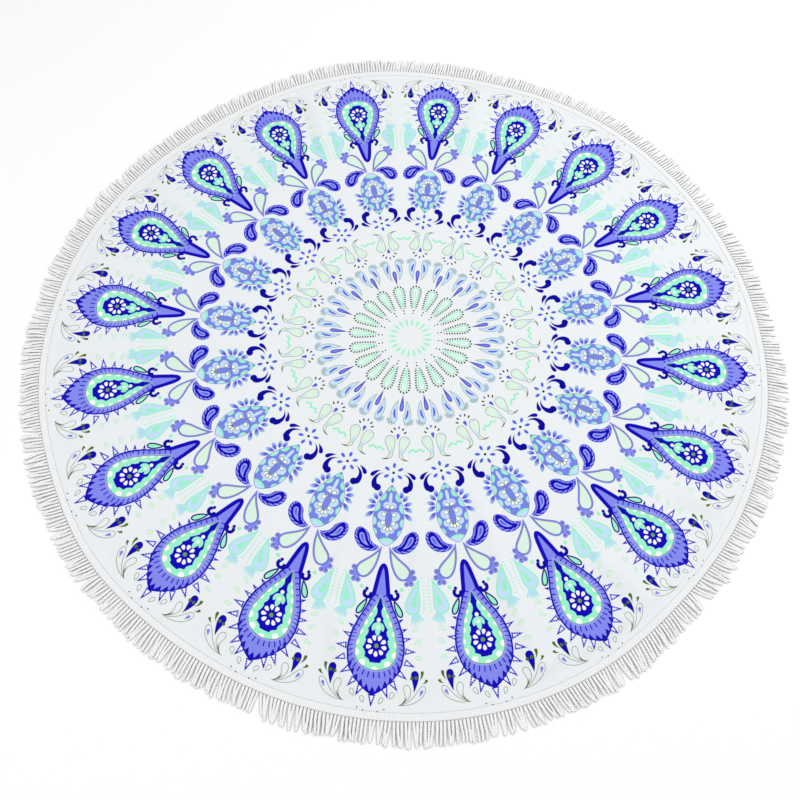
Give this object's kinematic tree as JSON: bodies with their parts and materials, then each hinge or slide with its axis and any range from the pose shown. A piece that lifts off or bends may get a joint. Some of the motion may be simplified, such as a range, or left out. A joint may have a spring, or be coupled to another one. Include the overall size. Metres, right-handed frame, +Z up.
{
  "type": "round beach towel",
  "caption": "Round fringed beach towel lying spread out, with soft folds running in from its rim.",
  "frame": {"origin": "on the floor, under the middle of the whole outline with its fringe", "axes": "+Z up through the flat cloth, +X to the viewer's right and +Y away from the viewer"},
  "size_m": [1.509, 1.5001, 0.0119],
  "materials": {
    "cloth": "matt white towelling with a blue and mint print",
    "cord": "matt white twisted cotton"
  },
  "bodies": {
    "root": {"cloth": "cloth", "fringe": "cord"}
  },
  "joints": []
}
